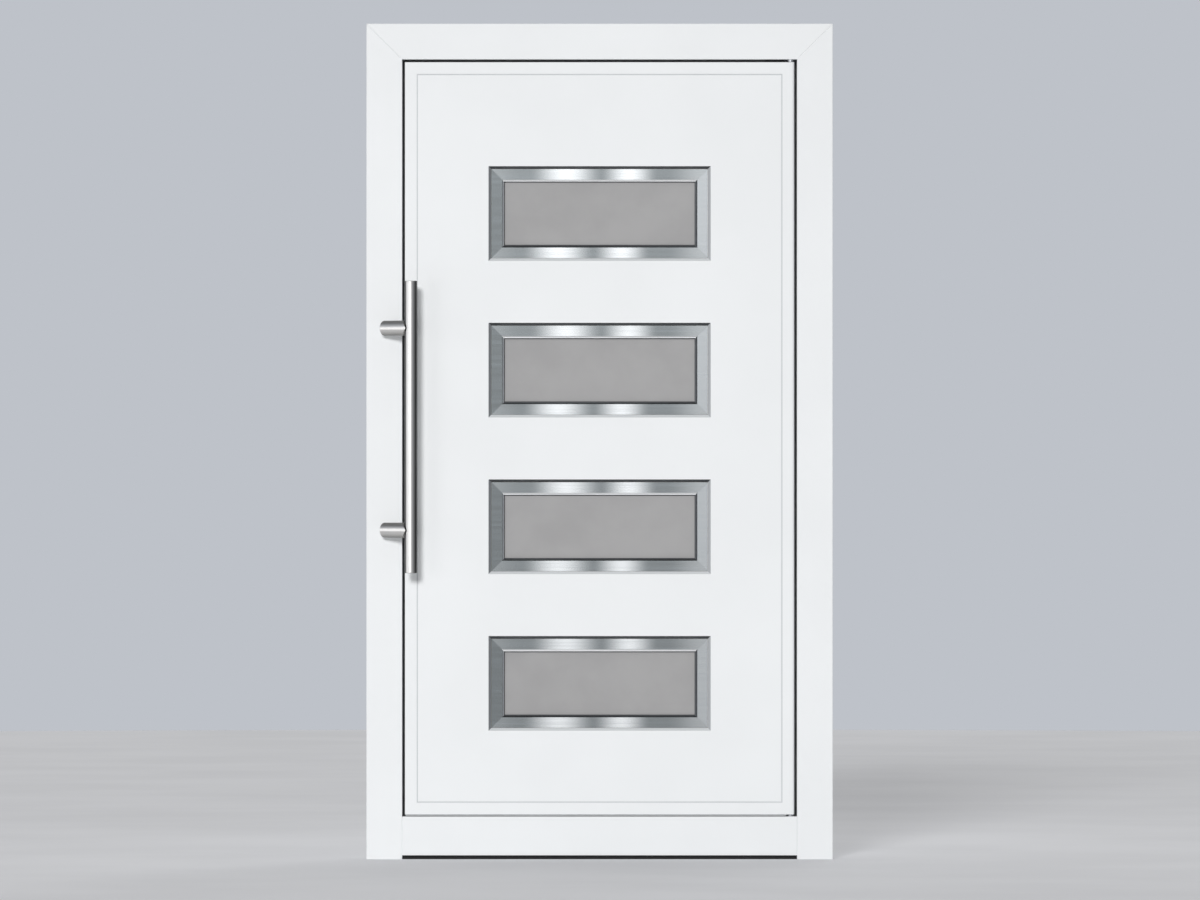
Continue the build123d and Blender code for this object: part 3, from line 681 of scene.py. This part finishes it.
# %% The plug tree
plug_inputs = {
    "Plug Radius": "NodeSocketFloat",
    "Plug Depth": "NodeSocketFloat",
    "Keyway Width": "NodeSocketFloat",
    "Keyway Height": "NodeSocketFloat",
    "Plug Finish": "NodeSocketMaterial",
    "Keyway Finish": "NodeSocketMaterial",
}
plug = Repeat("keyed_plug", plug_inputs)
plug_depth = plug.value("Plug Depth")
disc_shape = {"Vertices": 48, "Radius": plug.value("Plug Radius"), "Depth": plug_depth}
disc = plug.node("GeometryNodeMeshCylinder", {}, disc_shape)
upright = plug.node("FunctionNodeAlignRotationToVector", {"axis": "Z"}, {"Vector": (0.0, 1.0, 0.0)})
disc_done = plug.on_points(disc, "Plug Finish", Rotation=upright)
slot_sizes = {"X": plug.value("Keyway Width"), "Y": plug_depth * 0.2, "Z": plug.value("Keyway Height")}
slot_bar = plug.node("GeometryNodeMeshCube", {}, {"Size": plug.node("ShaderNodeCombineXYZ", {}, slot_sizes)})
lifted = plug.node("ShaderNodeCombineXYZ", {}, {"Y": plug_depth * 0.5})
slot_bar = plug.node("GeometryNodeTransform", {}, {"Geometry": slot_bar, "Translation": lifted})
slot_done = plug.on_points(slot_bar, "Keyway Finish")
joined = plug.node("GeometryNodeJoinGeometry", {}, {0: disc_done})
plug.links.new(slot_done.socket, joined.socket.node.inputs[0])
plug.node("NodeGroupOutput", {}, {"Geometry": joined})
print("plug tree has", len(plug.nodes), "nodes")

# %% [markdown]
# The cylinder's round part fills the upper end of its box and is as wide as the box, which gives the centre.

# %% Plug on the cylinder
lock_low, lock_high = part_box("lock_cylinder")
lock_radius = (lock_high.x - lock_low.x) / 2
plug_sizes = {
    "Plug Radius": lock_radius * 0.76,
    "Plug Depth": 0.8 * MM,
    "Keyway Width": 1.8 * MM,
    "Keyway Height": lock_radius * 1.1,
    "Plug Finish": plug_metal,
    # The keyway's black is painted shade standing in for depth.
    "Keyway Finish": black_plastic_and_keyway_shade,
}
plug_spot = (lock_low.x + lock_radius, lock_high.y, lock_high.z - lock_radius)
plug.harvest("cylinder_plug", [plug_spot], plug_sizes, "leaf", "cylinder_brass")

# %% [markdown]
# The threshold's sloping top is ribbed against slipping. A rib is a thin round bar along the door's width,
# so the tree sweeps a small circle along a line once and sets it on each point down the slope.

# %% The rib tree
rib_inputs = {"Rib Length": "NodeSocketFloat", "Rib Radius": "NodeSocketFloat", "Finish": "NodeSocketMaterial"}
ribs = Repeat("slope_ribs", rib_inputs)
rib_length = ribs.value("Rib Length")
rib_start = ribs.node("ShaderNodeCombineXYZ", {}, {"X": rib_length * -0.5})
rib_end = ribs.node("ShaderNodeCombineXYZ", {}, {"X": rib_length * 0.5})
rib_line = ribs.node("GeometryNodeCurvePrimitiveLine", {}, {"Start": rib_start, "End": rib_end})
rib_circle = {"Resolution": 8, "Radius": ribs.value("Rib Radius")}
rib_round = ribs.node("GeometryNodeCurvePrimitiveCircle", {}, rib_circle)
rib_sweep = {"Curve": rib_line, "Profile Curve": rib_round, "Fill Caps": True}
rib_bar = ribs.node("GeometryNodeCurveToMesh", {}, rib_sweep)
ribs.node("NodeGroupOutput", {}, {"Geometry": ribs.on_points(rib_bar, "Finish")})
print("rib tree has", len(ribs.nodes), "nodes")

# %% [markdown]
# The slope falls as far as the flat top is wide. Three ribs lie half sunk in it, inside the door's depth.

# %% Ribs on the threshold
SLOPE = 8 * MM
RIB_END_GAP = 4 * MM
RIB_RADIUS = 0.8 * MM
sill_low, sill_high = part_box("threshold")
slope_run = sill_high.y - sill_low.y - SLOPE
rib_shares = (0.25, 0.5, 0.75)
rib_spots = [(0, sill_high.y - share * slope_run, sill_high.z - (1 - share) * SLOPE) for share in rib_shares]
rib_reach = sill_high.x - sill_low.x - 2 * RIB_END_GAP
rib_sizes = {"Rib Length": rib_reach, "Rib Radius": RIB_RADIUS, "Finish": threshold_metal}
ribs.harvest("threshold_ribs", rib_spots, rib_sizes, "frame", "threshold_finish")

# %% [markdown]
# The joint over the plinth shows as a pale line in the photo. A thin tube seal under the leaf, just behind
# its face, makes that line. It is one more swept bar, so the rib tree serves it with other values. It stays
# clear of the plinth below and ends before the pivot's collar.

# %% Tube seal under the leaf
TUBE_RADIUS = 1.8 * MM
TUBE_END_GAP = 2 * MM
COLLAR_GAP = 4 * MM
tube_start = panel_low.x + TUBE_END_GAP
tube_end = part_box("pivot_pin_bottom")[0].x - COLLAR_GAP
tube_middle = (tube_start + tube_end) / 2
tube_spot = (tube_middle, leaf_front + TUBE_RADIUS + SUNK, panel_low.z - TUBE_RADIUS)
tube_sizes = {"Rib Length": tube_end - tube_start, "Rib Radius": TUBE_RADIUS, "Finish": tube_rubber}
ribs.harvest("tube_seal", [tube_spot], tube_sizes, "leaf", "seal_rubber")

# %% [markdown]
# ## The studio
# The door stands on a pale, dull floor. The floor is a large round sheet; its far edge draws the line where
# floor meets background.

# %% Floor
FLOOR_RADIUS = 11.9
FLOOR_SIDES = 128
turns = [2 * math.pi * side / FLOOR_SIDES for side in range(FLOOR_SIDES)]
floor_mesh = bpy.data.meshes.new("studio_floor")
floor_rim = [(FLOOR_RADIUS * math.cos(turn), FLOOR_RADIUS * math.sin(turn), 0) for turn in turns]
floor_mesh.from_pydata(floor_rim, [], [list(range(FLOOR_SIDES))])
floor = bpy.data.objects.new("studio_floor", floor_mesh)
scene.collection.objects.link(floor)
floor_finish = new_finish("pale_screed")
patches = floor_finish.ease(floor_finish.noise(1.2, detail=3.0), 0.3, 0.7)
floor_base = floor_finish.mix(patches, colour(229, 230, 233), colour(224, 225, 228))
floor_mesh.materials.append(floor_finish.surface(Base_Color=floor_base, Roughness=0.7, Specular_IOR_Level=0.0))
print("floor radius", FLOOR_RADIUS)

# %% [markdown]
# A broad sun, tilted from the upper left, lights the whole face evenly and draws the soft shadow beside the
# pull bar. It stays unseen by the camera, as the studio's lamps would.

# %% Lamps
KEY_DIRECTION = Vector((-0.145, -1.0, 0.265))
key_data = bpy.data.lights.new("key_sun", "SUN")
key_data.energy = 1.74
key_data.angle = math.radians(10)
key = bpy.data.objects.new("key_sun", key_data)
key.rotation_euler = (-KEY_DIRECTION).to_track_quat("-Z", "Y").to_euler()
scene.collection.objects.link(key)
print("key", key_data.energy)

# %% [markdown]
# Round steel shows what stands beside it, so soft panels are set where the bar and its supports mirror them:
# one at the left front for the bar's bright stripe, one far left for the supports. A third one behind the door
# gives the indoor face some shape in views from there. A narrow spread keeps each one off the floor near it.

# %% Soft panels
def soft_panel(name, place, target, width, tall, watts, spread=180):
    """A rectangular lamp that looks at a target, unseen by the camera; spread is in degrees."""
    data = bpy.data.lights.new(name, "AREA")
    data.shape = "RECTANGLE"
    data.size = width
    data.size_y = tall
    data.energy = watts
    data.spread = math.radians(spread)
    panel = bpy.data.objects.new(name, data)
    panel.location = place
    panel.rotation_euler = (Vector(target) - Vector(place)).to_track_quat("-Z", "Y").to_euler()
    panel.visible_camera = False
    scene.collection.objects.link(panel)
    print(name, watts, "W")


soft_panel("bar_panel", (-3.3, -4.17, 1.2), (grip_x, leaf_front, 1.2), 1.44, 1.8, 1.75, spread=60)
soft_panel("support_panel", (-3.9, -0.82, 1.15), (grip_x, leaf_front, 1.1), 1.86, 1.7, 1.5, spread=60)
soft_panel("indoor_panel", (1.8, 5.0, 2.6), (0, 0, 1.0), 1.6, 1.6, 5, spread=60)

# %% [markdown]
# The sky gives the even part of the light and is the plain tone behind the door. Camera, glossy and
# transmitted rays all see that one tone, so metal mirrors the same background that the picture shows. The
# light itself grows towards the side behind the door, because no lamp reaches the indoor face, and overhead,
# because the low sun barely reaches the floor.

# %% Sky
SKY_TONE = colour(190, 194, 201)
SKY_LIGHT = 0.19
INDOOR_LIGHT = 0.62
OVERHEAD_LIGHT = 0.4
world = bpy.data.worlds.new("studio_sky")
scene.world = world
sky = Finish(world)
rays = ("Camera", "Glossy", "Transmission")
seen = [sky.node("ShaderNodeLightPath", {}, {}, output=f"Is {ray} Ray") for ray in rays]
seen_plain = (seen[0] + seen[1] + seen[2]) > 0.5
direction = sky.node("ShaderNodeTexCoord", {}, {}, output="Generated")
north = sky.node("ShaderNodeSeparateXYZ", {}, {0: direction}, output="Y")
above = sky.node("ShaderNodeSeparateXYZ", {}, {0: direction}, output="Z")
level = SKY_LIGHT + INDOOR_LIGHT * sky.ease(north, 0.0, 0.8) + OVERHEAD_LIGHT * sky.ease(above, 0.4, 1.0)
light = sky.node("ShaderNodeCombineColor", {}, {0: level, 1: level, 2: level})
sky_colour = sky.mix(seen_plain, light, SKY_TONE)
background = sky.node("ShaderNodeBackground", {}, {"Color": sky_colour, "Strength": 1.0})
sky.node("ShaderNodeOutputWorld", {}, {"Surface": background})
scene.view_settings.view_transform = "Standard"
print("sky ready")
